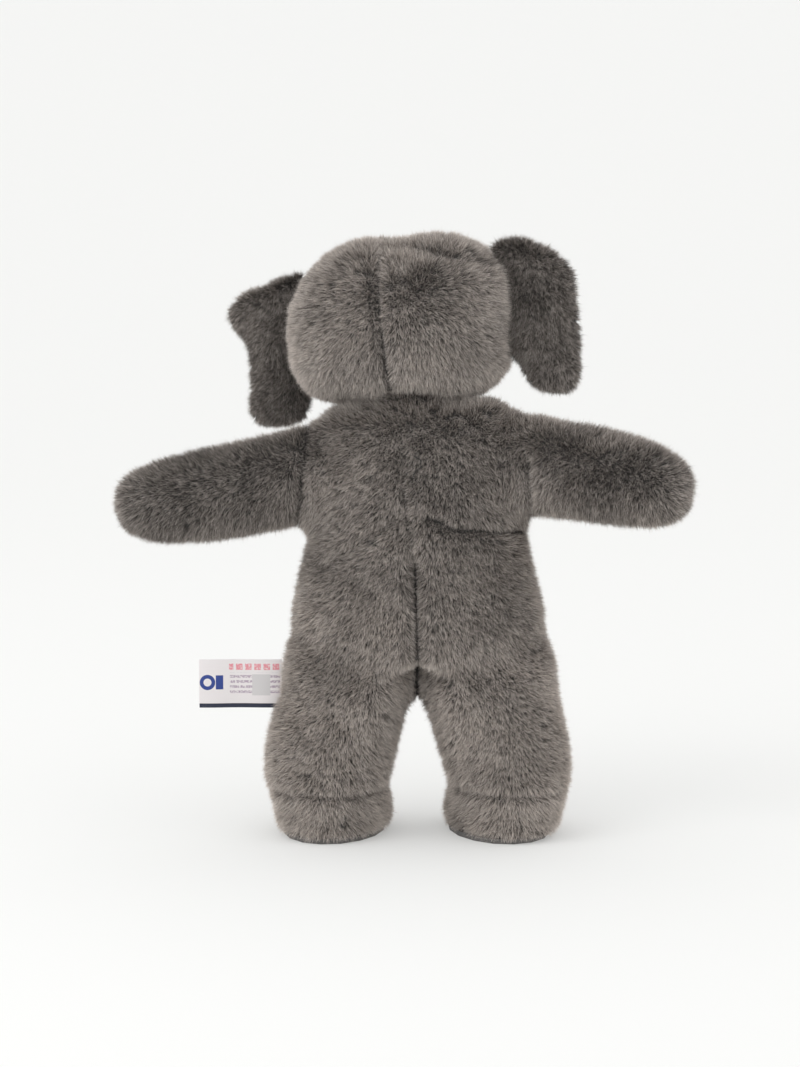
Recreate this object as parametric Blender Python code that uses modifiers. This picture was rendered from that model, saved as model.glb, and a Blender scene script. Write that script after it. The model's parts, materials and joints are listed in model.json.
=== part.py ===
"""A plush dog that stands on two legs with its arms held out.

Metres, +Z up. The dog faces -Y and its left side is +X. Each fur-fabric panel is a shell of
cloth, each wad of stuffing fills the space behind its panels, and each limb turns about a hinge
in its seam. The pile of the fur isn't part of the solids.
"""
import math

import bmesh
import bpy
from mathutils import Matrix, Vector
from mathutils.bvhtree import BVHTree

NAME = "plush_dog"

# Cloth and clearances
CLOTH = 0.0022  # thickness of a panel
GAP = 0.0003  # between pieces that touch
SEAM = 0.0006  # between the edges of two panels
SWING_GAP = 0.0012  # between a limb that turns and its socket
CAGE_SIDES = 8  # sides of a soft form's cage
REACH = 0.4  # longer than the whole toy, for cutters that pass through everything

# The body, upright; its middle is beside the origin, which is in the middle of the posed toy
BODY_AT = Vector((-0.0058, 0.0126, 0))
TORSO_TOP = 0.209
TORSO_WIDE = 0.105  # across the chest
TORSO_DEEP = 0.067
HIP_WIDE = 0.117

# Arms, measured from the shoulder's hinge
SHOULDER = Vector((0.050, 0.002, 0.177))
ARM_LENGTH = 0.094
ARM_TALL = 0.041
ARM_DEEP = 0.034
ARM_DROOP = {1: math.radians(9), -1: math.radians(5)}  # down, for left and right
ARM_SWEEP = {1: math.radians(4), -1: math.radians(33)}  # back, for left and right
ARM_UP = math.radians(35)
ARM_DOWN = math.radians(45)

# Legs and feet
HIP_HEIGHT = 0.075
LEG_DEEP = 0.056
LEG_WIDE = 0.0545
LEG_OUT = 0.0425  # the ankle's distance from the middle
LEG_SIT = math.radians(75)
LEG_BACK = math.radians(15)
ANKLE = 0.028
FOOT_LENGTH = 0.082
FOOT_WIDE = 0.050
FOOT_TURN = math.radians(9)  # toes turned in
SOLE = 0.0025

# Head, with its own origin in the middle of the skull
HEAD = Vector((0.009, -0.014, 0.248))
HEAD_WIDE = 0.104
HEAD_DEEP = 0.090
HEAD_TALL = 0.078
HEAD_YAW = math.radians(-9)
HEAD_ROLL = math.radians(6)
NECK = Vector((0.004, -0.006, 0.206))
NECK_RADIUS = 0.021
EAR_SEAM = -0.014  # where the back of the head meets the face
GUSSET = 0.020  # width of the strip over the forehead
MUZZLE_WIDE = 0.050
MUZZLE_TALL = 0.038
MUZZLE_LONG = 0.054
MUZZLE_AT = Vector((0, -0.040, -0.011))
THROAT = -0.012  # the throat gusset's upper limit
EAR_THICK = 0.009
EAR_LONG = 0.065
EAR_WIDE = 0.034
EAR_CLEAR = 0.0028  # between an ear and the skull
EAR_ROOT = Vector((0.046, EAR_SEAM, 0.022))

# Eyes, nose, threads and label
EYE_RADIUS = 0.0055
EYE_SIDE = 0.50  # share of the face's half width
EYE_UP = math.radians(16)
NOSE_WIDE = 0.017
NOSE_TALL = 0.011
NOSE_UP = 0.16  # slope of the line from the muzzle's middle to the nose
SHANK = 0.0016
WASHER = 0.0050
WASHER_THICK = 0.0012
SHANK_END = 0.0010  # how far a shank stands out behind its washer
THREAD = 0.00035
STITCH_WIDE = 0.0032
STITCH_PITCH = 0.0055
STITCH_COUNT = 5
LABEL_LONG = 0.040
LABEL_TALL = 0.0215
LABEL_THICK = 0.0004
LABEL_HEIGHT = 0.0755
LABEL_DROP = 0.0022  # how far the dark side shows below the care side

FUR = (0.118, 0.104, 0.096)
COLOURS = {
    "fur": (FUR, 0.95, 0.0),
    "lining": ((0.105, 0.092, 0.085), 0.95, 0.0),
    "filling": ((0.85, 0.84, 0.80), 1.0, 0.0),
    "black_plastic": ((0.01, 0.01, 0.01), 0.15, 0.0),
    "white_plastic": ((0.75, 0.75, 0.74), 0.4, 0.0),
    "thread": ((0.03, 0.027, 0.025), 0.8, 0.0),
    "white_tape": ((0.82, 0.81, 0.80), 0.5, 0.0),
    "navy_tape": ((0.012, 0.02, 0.06), 0.6, 0.0),
}


# ---------------------------------------------------------------- workshop
def clear_scene():
    for item in list(bpy.data.objects):
        bpy.data.objects.remove(item, do_unlink=True)


def collection(name):
    made = bpy.data.collections.new(name)
    bpy.context.scene.collection.children.link(made)
    return made


def material(name):
    colour, roughness, metallic = COLOURS[name]
    made = bpy.data.materials.get(name)
    if made is None:
        made = bpy.data.materials.new(name)
        made.use_nodes = True
        shader = made.node_tree.nodes["Principled BSDF"]
        shader.inputs["Base Color"].default_value = (*colour, 1)
        shader.inputs["Roughness"].default_value = roughness
        shader.inputs["Metallic"].default_value = metallic
    return made


def add(name, mesh, home, finish=None, parent=None):
    item = bpy.data.objects.new(name, mesh)
    home.objects.link(item)
    item.parent = parent
    if finish:
        mesh.materials.clear()
        mesh.materials.append(material(finish))
    return item


def empty(name, place, parent=None, turn=(0, 0, 0)):
    item = bpy.data.objects.new(name, None)
    bpy.context.scene.collection.objects.link(item)
    item.location = place
    item.rotation_euler = turn
    item.parent = parent
    return item


def as_mesh(name, bm):
    mesh = bpy.data.meshes.new(name)
    bmesh.ops.recalc_face_normals(bm, faces=bm.faces)
    bm.to_mesh(mesh)
    bm.free()
    mesh.shade_smooth()
    return mesh


def cutter(name, mesh, parent):
    item = add(name, mesh, cutters, parent=parent)
    item.hide_render = True
    item.display_type = "WIRE"
    return item


def box_mesh(name, low, high):
    low, high = Vector(low), Vector(high)
    bm = bmesh.new()
    size = Matrix.Diagonal((*(high - low), 1))
    bmesh.ops.create_cube(bm, size=1, matrix=Matrix.Translation((low + high) / 2) @ size)
    return as_mesh(name, bm)


def ball_mesh(name, size, place=(0, 0, 0), segments=16, rings=10):
    """An ellipsoid of full size (x, y, z), its poles up and down."""
    bm = bmesh.new()
    matrix = Matrix.Translation(place) @ Matrix.Diagonal((*(Vector(size) / 2), 1))
    bmesh.ops.create_uvsphere(bm, u_segments=segments, v_segments=rings, radius=1, matrix=matrix)
    return as_mesh(name, bm)


def cut_flat(mesh, y):
    """A closed mesh with everything behind a plane taken off, and the cut closed."""
    bm = bmesh.new()
    bm.from_mesh(mesh)
    bmesh.ops.bisect_plane(bm, geom=bm.verts[:] + bm.edges[:] + bm.faces[:], plane_co=(0, y, 0),
                           plane_no=(0, 1, 0), clear_outer=True)
    bmesh.ops.contextual_create(bm, geom=[edge for edge in bm.edges if edge.is_boundary])
    bm.to_mesh(mesh)
    bm.free()
    return mesh


def rod_mesh(name, radius, length, axis="Z", start=0.0, segments=24):
    """A cylinder along an axis, from start to start + length."""
    turn = {"X": Matrix.Rotation(math.pi / 2, 4, "Y"), "Y": Matrix.Rotation(-math.pi / 2, 4, "X"),
            "Z": Matrix()}[axis]
    bm = bmesh.new()
    matrix = turn @ Matrix.Translation((0, 0, start + length / 2))
    bmesh.ops.create_cone(bm, cap_ends=True, segments=segments, radius1=radius, radius2=radius,
                          depth=length, matrix=matrix)
    return as_mesh(name, bm)


def stuffed_mesh(name, stations):
    """A coarse cage for a stuffed form: a ring of points at each station (height, middle x,
    middle y, width, depth), bridged and capped. Subdivision Surface pulls a cage in, so the rings
    are drawn larger by the share that it loses."""
    grow = 3 / (2 + math.cos(2 * math.pi / CAGE_SIDES))
    bm = bmesh.new()
    loops = []
    for height, x, y, wide, deep in stations:
        size = Matrix.Diagonal((wide / 2 * grow, deep / 2 * grow, 1, 1))
        turn = Matrix.Rotation(math.pi / CAGE_SIDES, 4, "Z")
        ring = bmesh.ops.create_circle(bm, cap_ends=False, segments=CAGE_SIDES, radius=1,
                                       matrix=Matrix.Translation((x, y, height)) @ size @ turn)
        loops.append({edge for vert in ring["verts"] for edge in vert.link_edges})
    for lower, upper in zip(loops, loops[1:]):
        bmesh.ops.bridge_loops(bm, edges=list(lower | upper))
    for loop in (loops[0], loops[-1]):
        bmesh.ops.contextual_create(bm, geom=list(loop))
    return as_mesh(name, bm)


def smooth(item, levels=1):
    modifier = item.modifiers.new("soft", "SUBSURF")
    modifier.levels = levels
    modifier.render_levels = levels


def boolean(item, operation, tool, solver="EXACT"):
    modifier = item.modifiers.new(f"{operation.lower()}_{tool.name}"[:60], "BOOLEAN")
    modifier.operation = operation
    modifier.object = tool
    modifier.solver = solver


def panel(name, form, levels, parent, keep, away=(), finish="fur"):
    """One panel of cloth: the skin of a form, kept inside one region and cut by others."""
    item = add(name, form.copy(), parts, finish, parent)
    if levels:
        smooth(item, levels)
    shell = item.modifiers.new("cloth", "SOLIDIFY")
    shell.thickness = CLOTH
    shell.offset = -1
    boolean(item, "INTERSECT", keep)
    for tool in away:
        boolean(item, "DIFFERENCE", tool, "MANIFOLD")
    return item


def filling(name, form, levels, parent, keep=None, away=()):
    """The stuffing behind a form's panels."""
    item = add(name, form.copy(), parts, "filling", parent)
    if levels:
        smooth(item, levels)
    inset = item.modifiers.new("behind_cloth", "DISPLACE")
    inset.strength = -(CLOTH + GAP)
    inset.mid_level = 0
    if keep:
        boolean(item, "INTERSECT", keep)
    for tool in away:
        boolean(item, "DIFFERENCE", tool)
    return item


def surface_point(form, levels, start, direction):
    """Where a ray from inside a form leaves it, in the form's own space."""
    probe = add("probe", form.copy(), cutters)
    if levels:
        smooth(probe, levels)
    bpy.context.view_layer.update()
    tree = BVHTree.FromObject(probe, bpy.context.evaluated_depsgraph_get())
    place = tree.ray_cast(Vector(start), Vector(direction).normalized())[0]
    bpy.data.objects.remove(probe, do_unlink=True)
    return place


def outward(offset, size):
    """The direction square to an ellipsoid at an offset from its middle."""
    return Vector([offset[i] / size[i] ** 2 for i in range(3)]).normalized()


def thread(name, points, parent, finish="thread"):
    """A thread laid through a list of points."""
    curve = bpy.data.curves.new(name, "CURVE")
    curve.dimensions = "3D"
    curve.bevel_depth = THREAD
    curve.bevel_resolution = 1
    curve.use_fill_caps = True
    spline = curve.splines.new("POLY")
    spline.points.add(len(points) - 1)
    for point, place in zip(spline.points, points):
        point.co = (*place, 1)
    return add(name, curve, parts, finish, parent)


# ---------------------------------------------------------------- forms
def torso_form():
    top = TORSO_TOP
    return stuffed_mesh("torso_form", [
        (HIP_HEIGHT + 0.006, 0, 0, HIP_WIDE * 0.80, TORSO_DEEP * 0.72),
        (HIP_HEIGHT + 0.014, 0, 0, HIP_WIDE, TORSO_DEEP * 0.98),
        (HIP_HEIGHT + 0.034, 0, 0, HIP_WIDE * 0.985, TORSO_DEEP),
        (HIP_HEIGHT + 0.062, 0, 0, TORSO_WIDE * 0.975, TORSO_DEEP),
        (top - 0.034, 0, 0, TORSO_WIDE, TORSO_DEEP * 0.97),
        (top - 0.013, 0, 0.001, TORSO_WIDE * 0.95, TORSO_DEEP * 0.82),
        (top - 0.003, 0, 0.002, TORSO_WIDE * 0.74, TORSO_DEEP * 0.60),
        (top, 0, 0.002, TORSO_WIDE * 0.56, TORSO_DEEP * 0.44),
    ])


def arm_form():
    """Along +Z from its root ball, which turns about Y through the origin."""
    return stuffed_mesh("arm_form", [
        (-ARM_TALL * 0.50, 0, 0, ARM_TALL * 0.52, ARM_DEEP * 0.52),
        (-ARM_TALL * 0.34, 0, 0, ARM_TALL * 0.80, ARM_DEEP * 0.84),
        (ARM_LENGTH * 0.02, 0, 0, ARM_TALL, ARM_DEEP),
        (ARM_LENGTH * 0.40, 0, 0, ARM_TALL, ARM_DEEP),
        (ARM_LENGTH * 0.72, 0, 0, ARM_TALL * 0.93, ARM_DEEP * 0.97),
        (ARM_LENGTH * 0.92, 0, 0, ARM_TALL * 0.70, ARM_DEEP * 0.74),
        (ARM_LENGTH, 0, 0, ARM_TALL * 0.38, ARM_DEEP * 0.40),
    ])


def leg_form():
    """Hangs below the hip's hinge, which lies along X through the origin; x is from the middle
    of the body. It ends below the ankle, where the foot's panels cut it."""
    root = LEG_DEEP / 2
    return stuffed_mesh("leg_form", [
        (ANKLE - HIP_HEIGHT - 0.018, LEG_OUT, 0, LEG_WIDE * 0.95, LEG_DEEP * 0.93),
        (ANKLE - HIP_HEIGHT + 0.002, LEG_OUT, 0, LEG_WIDE * 0.97, LEG_DEEP * 0.95),
        (-root * 0.80, LEG_OUT - 0.004, 0, LEG_WIDE * 1.05, LEG_DEEP * 0.99),
        (-root * 0.20, LEG_OUT - 0.009, 0, LEG_WIDE * 1.11, LEG_DEEP * 0.99),
        (root * 0.40, LEG_OUT - 0.0105, 0, LEG_WIDE * 1.11, LEG_DEEP * 0.88),
        (root * 0.82, LEG_OUT - 0.0125, 0, LEG_WIDE * 1.03, LEG_DEEP * 0.58),
        (root * 0.98, LEG_OUT - 0.013, 0, LEG_WIDE * 0.80, LEG_DEEP * 0.30),
    ])


def foot_form():
    """Stands on the floor with its heel behind the ankle, which is above the origin."""
    heel = LEG_DEEP * 0.47
    middle = heel - FOOT_LENGTH / 2
    return stuffed_mesh("foot_form", [
        (-0.012, 0, middle, FOOT_WIDE * 0.97, FOOT_LENGTH * 0.94),
        (0.004, 0, middle, FOOT_WIDE * 0.99, FOOT_LENGTH * 0.97),
        (0.011, 0, middle, FOOT_WIDE * 1.01, FOOT_LENGTH),
        (0.019, 0, middle + 0.004, FOOT_WIDE * 0.98, FOOT_LENGTH * 0.90),
        (0.025, 0, heel * 0.10, FOOT_WIDE * 0.98, LEG_DEEP * 1.04),
        (0.036, 0, 0, FOOT_WIDE * 0.98, LEG_DEEP * 0.94),
        (0.048, 0, 0, FOOT_WIDE * 0.98, LEG_DEEP * 0.94),
    ])


def ear_form():
    """Hangs from its root at the origin, which is its hinge along Y; +X is away from the head."""
    return stuffed_mesh("ear_form", [
        (-EAR_LONG, 0.019, 0, EAR_WIDE * 0.55, EAR_THICK * 0.7),
        (-EAR_LONG * 0.94, 0.019, 0, EAR_WIDE * 0.82, EAR_THICK),
        (-EAR_LONG * 0.65, 0.020, 0, EAR_WIDE * 0.98, EAR_THICK),
        (-EAR_LONG * 0.35, 0.020, 0, EAR_WIDE, EAR_THICK),
        (-EAR_LONG * 0.12, 0.0185, 0, EAR_WIDE * 1.06, EAR_THICK),
        (0.002, 0.011, 0, EAR_WIDE * 0.74, EAR_THICK),
        (0.006, 0.007, 0, EAR_WIDE * 0.44, EAR_THICK * 0.7),
    ])


# ---------------------------------------------------------------- cutters
def region(name, parent, x=(-REACH, REACH), y=(-REACH, REACH), z=(-REACH, REACH)):
    """A box that keeps one panel's part of a form."""
    low, high = zip(x, y, z)
    return cutter(name, box_mesh(name, low, high), parent)


def beside(side, gap=SEAM / 2, at=0.0):
    """The range on one side of a seam, less half the seam's gap."""
    return (at + gap, REACH) if side > 0 else (-REACH, at - gap)


def swing_room(name, parent, axis, radius, swing, span):
    """The room that a limb needs to turn about X or Y: its root's cylinder and the fan that the
    limb sweeps between two directions (angles in the YZ or the XZ plane), over a span of the axis."""
    radius += SWING_GAP
    first, last = swing
    quarter, steps = math.pi / 2, 24
    outline = [(radius, first - quarter, REACH, first), (0, 0, 2 * REACH, (first + last) / 2),
               (radius, last + quarter, REACH, last)]
    for step in range(steps + 1):
        outline.append((radius, last + quarter + (2 * quarter - (last - first)) * step / steps, 0, 0))
    bm = bmesh.new()
    corners = []
    for near, near_angle, far, far_angle in outline:
        u = near * math.cos(near_angle) + far * math.cos(far_angle)
        v = near * math.sin(near_angle) + far * math.sin(far_angle)
        corners.append(bm.verts.new((span[0], u, v) if axis == "X" else (u, span[0], v)))
    face = bm.faces.new(corners)
    pushed = bmesh.ops.extrude_face_region(bm, geom=[face])["geom"]
    along = (span[1] - span[0], 0, 0) if axis == "X" else (0, span[1] - span[0], 0)
    bmesh.ops.translate(bm, vec=along, verts=[v for v in pushed if isinstance(v, bmesh.types.BMVert)])
    return cutter(name, as_mesh(name, bm), parent)


# ---------------------------------------------------------------- the toy
def make_torso(body, shoulders, hips):
    form = torso_form()
    neck = cutter("neck_room", ball_mesh("neck_room", [2 * NECK_RADIUS + 2 * SWING_GAP] * 3, NECK),
                  body)
    rooms = [hips, neck]
    for side, word in ((1, "left"), (-1, "right")):
        own = [shoulders[side]] + rooms
        for part, half in (("back", 1), ("front", -1)):
            name = f"torso_{part}_{word}"
            quarter = region(f"{name}_region", body, x=beside(side), y=beside(half))
            panel(name, form, 1, body, quarter, own)
    filling("torso_stuffing", form, 1, body, None, [shoulders[1], shoulders[-1]] + rooms)
    return form


def make_stitches(body, form):
    """The ladder stitch that closes the back after stuffing: one thread, to and fro."""
    low = TORSO_TOP - 0.045
    back = max(surface_point(form, 1, (0, 0, low + step * STITCH_PITCH), (0, 1, 0)).y
               for step in range(STITCH_COUNT))
    points = []
    for step in range(STITCH_COUNT):
        height = low + step * STITCH_PITCH
        side = STITCH_WIDE / 2 * (1 if step % 2 else -1)
        depth = back + THREAD + GAP
        points.append((side, depth, height))
        points.append((-side, depth, height + STITCH_PITCH * 0.35))
    thread("closing_stitches", points, body)


def make_neck(body):
    ball = ball_mesh("neck_stuffing", [2 * NECK_RADIUS] * 3)
    hub = empty("neck_pivot", NECK, body)
    add("neck_stuffing", ball, parts, "filling", hub)


def make_arm(side, word, shoulder):
    """The arm's own empty points +Z along the arm, so its panels are placed by turning it."""
    droop = empty(f"arm_{word}_line", (0, 0, 0), shoulder,
                  (0, side * (math.pi / 2 + ARM_DROOP[side]), 0))
    form = arm_form()
    for part, half in (("back", 1), ("front", -1)):
        name = f"arm_{word}_{part}"
        panel(name, form, 1, droop, region(f"{name}_region", droop, y=beside(half)))
    filling(f"arm_{word}_stuffing", form, 1, droop)


def mirrored(mesh, side):
    """The same mesh for the left side, or its mirror image for the right."""
    if side < 0:
        mesh.transform(Matrix.Diagonal((-1, 1, 1, 1)))
        mesh.flip_normals()
    return mesh


def make_leg(side, word, hip):
    form = mirrored(leg_form(), side)
    over_ankle = beside(1, at=ANKLE - HIP_HEIGHT)
    for part, half in (("back", 1), ("front", -1)):
        name = f"leg_{word}_{part}"
        keep = region(f"{name}_region", hip, y=beside(half), z=over_ankle)
        panel(name, form, 1, hip, keep)
    filling(f"leg_{word}_stuffing", form, 1, hip, region(f"leg_{word}_region", hip, z=over_ankle))

    foot = empty(f"foot_{word}", (side * LEG_OUT, 0, -HIP_HEIGHT), hip, (0, 0, -side * FOOT_TURN))
    shape = foot_form()
    upper = region(f"foot_{word}_region", foot, z=(SOLE + GAP, ANKLE - SEAM / 2))
    panel(f"foot_{word}_upper", shape, 1, foot, upper)
    filling(f"foot_{word}_stuffing", shape, 1, foot, upper)
    sole = add(f"foot_{word}_sole", shape.copy(), parts, "lining", foot)
    smooth(sole)
    boolean(sole, "INTERSECT", region(f"foot_{word}_sole_region", foot, z=(0, SOLE)))
    return form


def make_label(hip, form):
    """Two tapes folded into the left hip's seam: the care side behind, the dark one in front."""
    height = LABEL_HEIGHT - HIP_HEIGHT
    levels = (-LABEL_TALL / 2 - LABEL_DROP, -LABEL_TALL / 2, 0, LABEL_TALL / 2)
    root = max(surface_point(form, 1, (LEG_OUT - 0.010, 0, height + level), (1, 0, 0)).x
               for level in levels) + GAP
    for name, finish, y, drop in (("label_care_side", "white_tape", LABEL_THICK / 2 + GAP / 2, 0),
                                  ("label_dark_side", "navy_tape", -LABEL_THICK / 2 - GAP / 2,
                                   LABEL_DROP)):
        low = (root, y - LABEL_THICK / 2, height - LABEL_TALL / 2 - drop)
        high = (root + LABEL_LONG, y + LABEL_THICK / 2, height + LABEL_TALL / 2 - drop)
        add(name, box_mesh(name, low, high), parts, finish, hip)


def make_stud(name, head, place, direction, size, bend):
    """A plastic eye or nose: a dome and a shank in one piece, and the washer that locks it
    behind the cloth, which bends away from it with the radius given. Returns the cutters that
    make room for it in the cloth and in the stuffing."""
    facing = direction.to_track_quat("Z", "Y").to_euler()
    seat = empty(f"{name}_seat", place, head, facing)
    wide, tall, thick = size
    dome = ball_mesh(name, (wide, tall, thick * 2), segments=12, rings=8)
    item = add(name, dome, parts, "black_plastic", seat)
    sunk = CLOTH * 0.25
    boolean(item, "INTERSECT", region(f"{name}_upper", seat, z=(-sunk, REACH)))
    behind = CLOTH + 2 * GAP + WASHER ** 2 / (2 * (bend - CLOTH))
    depth = behind + WASHER_THICK + SHANK_END
    shank = cutter(f"{name}_shank", rod_mesh(name, SHANK, depth, "Z", -depth, 12), seat)
    boolean(item, "UNION", shank)

    disc = rod_mesh(f"{name}_washer", WASHER, WASHER_THICK, "Z", -behind - WASHER_THICK, 16)
    washer = add(f"{name}_washer", disc, parts, "white_plastic", seat)
    hole = cutter(f"{name}_hole", rod_mesh(name, SHANK + GAP, 0.02, "Z", -0.015, 12), seat)
    boolean(washer, "DIFFERENCE", hole)

    bed_size = (wide + 2 * GAP, tall + 2 * GAP)
    bed = rod_mesh(f"{name}_bed", 0.5, 0.02, "Z", -sunk - GAP, 24)
    bed.transform(Matrix.Diagonal((*bed_size, 1, 1)))
    bed_tool = cutter(f"{name}_bed", bed, seat)
    pocket = cutter(f"{name}_pocket", rod_mesh(name, WASHER + GAP, 0.02, "Z", -depth - 2 * GAP, 20),
                     seat)
    return [hole, bed_tool], [pocket]


def make_head(body):
    head = empty("head", HEAD, body, (0, HEAD_ROLL, HEAD_YAW))
    skull = ball_mesh("skull_form", (HEAD_WIDE, HEAD_DEEP, HEAD_TALL), segments=20, rings=10)
    muzzle = ball_mesh("muzzle_form", (MUZZLE_WIDE, MUZZLE_LONG, MUZZLE_TALL), MUZZLE_AT, 14, 8)
    neck = cutter("neck_in_head", ball_mesh("neck_in_head", [2 * NECK_RADIUS + 2 * SWING_GAP] * 3,
                                            NECK), body)
    opening = [s + 2 * GAP for s in (MUZZLE_WIDE, MUZZLE_LONG, MUZZLE_TALL)]
    muzzle_room = cutter("muzzle_room", ball_mesh("muzzle_room", opening, MUZZLE_AT), head)

    eye_tools, pockets = {}, []
    for side, word in ((1, "left"), (-1, "right")):
        aim = Vector((side * EYE_SIDE, -1, math.sin(EYE_UP))).normalized()
        place = surface_point(skull, 0, (0, 0, 0), aim)
        normal = outward(place, (HEAD_WIDE, HEAD_DEEP, HEAD_TALL))
        cloth, soft = make_stud(f"eye_{word}", head, place, normal,
                                (2 * EYE_RADIUS, 2 * EYE_RADIUS, EYE_RADIUS * 0.9),
                                HEAD_TALL / 2)
        eye_tools[side] = cloth
        pockets += soft
    tip = surface_point(muzzle, 0, MUZZLE_AT, (0, -1, NOSE_UP))
    tip_aim = outward(tip - MUZZLE_AT, (MUZZLE_WIDE, MUZZLE_LONG, MUZZLE_TALL))
    nose_cloth, soft = make_stud("nose", head, tip, tip_aim,
                                 (NOSE_WIDE, NOSE_TALL, NOSE_TALL * 0.45),
                                 MUZZLE_TALL ** 2 / MUZZLE_LONG / 2)
    pockets += soft

    rear, fore = beside(1, at=EAR_SEAM), beside(-1, at=EAR_SEAM)
    for side, word in ((1, "left"), (-1, "right")):
        keep = region(f"head_back_{word}_region", head, x=beside(side), y=rear)
        panel(f"head_back_{word}", skull, 0, head, keep, [neck])
        cheek = beside(side, at=side * GUSSET / 2)
        keep = region(f"face_{word}_region", head, x=cheek, y=fore)
        panel(f"face_{word}", skull, 0, head, keep, [muzzle_room] + eye_tools[side])
    strip = (SEAM / 2 - GUSSET / 2, GUSSET / 2 - SEAM / 2)
    for name, height in (("forehead_gusset", (0, REACH)), ("throat_gusset", (-REACH, THROAT))):
        panel(name, skull, 0, head, region(f"{name}_region", head, x=strip, y=fore, z=height),
              [muzzle_room])
    for name, side in (("muzzle_upper", 1), ("muzzle_lower", -1)):
        keep = region(f"{name}_region", head, y=(-REACH, MUZZLE_AT.y),
                      z=beside(side, at=MUZZLE_AT.z))
        panel(name, muzzle, 0, head, keep, nose_cloth)

    plug = add("muzzle_filling", muzzle.copy(), cutters, parent=head)
    plug.hide_render = True
    plug.display_type = "WIRE"
    inset = plug.modifiers.new("behind_cloth", "DISPLACE")
    inset.strength = -(CLOTH + GAP)
    inset.mid_level = 0
    cavity = cutter("muzzle_cavity", cut_flat(ball_mesh("muzzle_cavity", opening, MUZZLE_AT),
                                              MUZZLE_AT.y + GAP), head)
    stuffing = filling("head_stuffing", skull, 0, head, None, [cavity])
    boolean(stuffing, "UNION", plug)
    for tool in [neck] + pockets:
        boolean(stuffing, "DIFFERENCE", tool)
    make_mouth(head, muzzle)
    for side, word in ((1, "left"), (-1, "right")):
        make_ear(side, word, head)
    return head


def make_mouth(head, muzzle):
    """One thread: down from the nose, then a smile to each side."""
    points = []
    steps = 8
    for step in range(-steps, steps + 1):
        share = step / steps
        aim = Vector((share * 0.55, -1, -0.30 + 0.22 * share ** 2))
        place = surface_point(muzzle, 0, MUZZLE_AT, aim)
        points.append(place + aim.normalized() * (THREAD + GAP + 0.0004))
    thread("mouth_stitching", points, head)


def make_ear(side, word, head):
    root = empty(f"ear_{word}_root", (side * EAR_ROOT.x, EAR_ROOT.y, EAR_ROOT.z), head)
    form = mirrored(ear_form(), side)
    clear = 2 * EAR_CLEAR
    skull = ball_mesh("ear_clearance", (HEAD_WIDE + clear, HEAD_DEEP + clear, HEAD_TALL + clear),
                      segments=20, rings=10)
    room = cutter(f"ear_{word}_clearance", skull, head)
    for name, half in (("outer", 1), ("lining", -1)):
        item = add(f"ear_{word}_{name}", form.copy(), parts, "fur" if half > 0 else "lining", root)
        smooth(item)
        boolean(item, "INTERSECT", region(f"ear_{word}_{name}_half", root, y=beside(half)))
        boolean(item, "DIFFERENCE", room)


clear_scene()
parts = collection(NAME)
cutters = collection("cutters")
root_empty = empty(NAME, BODY_AT)

shoulder_empties, shoulder_rooms = {}, {}
for sign, label in ((1, "left"), (-1, "right")):
    place = (sign * SHOULDER.x, SHOULDER.y, SHOULDER.z)
    pivot = empty(f"shoulder_{label}", place, root_empty, (0, 0, sign * ARM_SWEEP[sign]))
    shoulder_empties[sign] = pivot
    swing = (-ARM_DROOP[sign] - ARM_DOWN, -ARM_DROOP[sign] + ARM_UP)
    if sign < 0:
        swing = (math.pi - swing[1], math.pi - swing[0])
    reach = ARM_DEEP / 2 + SWING_GAP
    shoulder_rooms[sign] = swing_room(f"shoulder_{label}_room", pivot, "Y", ARM_TALL / 2, swing,
                                      (-reach, reach))

hip_empty = empty("hips", (0, 0, HIP_HEIGHT), root_empty)
down = -math.pi / 2
hip_room = swing_room("hip_room", hip_empty, "X", LEG_DEEP / 2, (down - LEG_SIT, down + LEG_BACK),
                      (-HIP_WIDE, HIP_WIDE))
torso = make_torso(root_empty, shoulder_rooms, hip_room)
make_stitches(root_empty, torso)
make_neck(root_empty)
for sign, label in ((1, "left"), (-1, "right")):
    make_arm(sign, label, shoulder_empties[sign])
    hip = empty(f"hip_{label}", (0, 0, HIP_HEIGHT), root_empty)
    leg = make_leg(sign, label, hip)
    if sign > 0:
        make_label(hip, leg)
make_head(root_empty)
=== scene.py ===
# %% [markdown]
# # A grey plush dog, dressed over its working frame
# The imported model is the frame. Each sewn bag of cloth and filling in it becomes one soft skin,
# and each skin grows its own pile of short combed fibres. The hard pieces and the label come last.

# %% Load the frame
import json
import math

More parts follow.
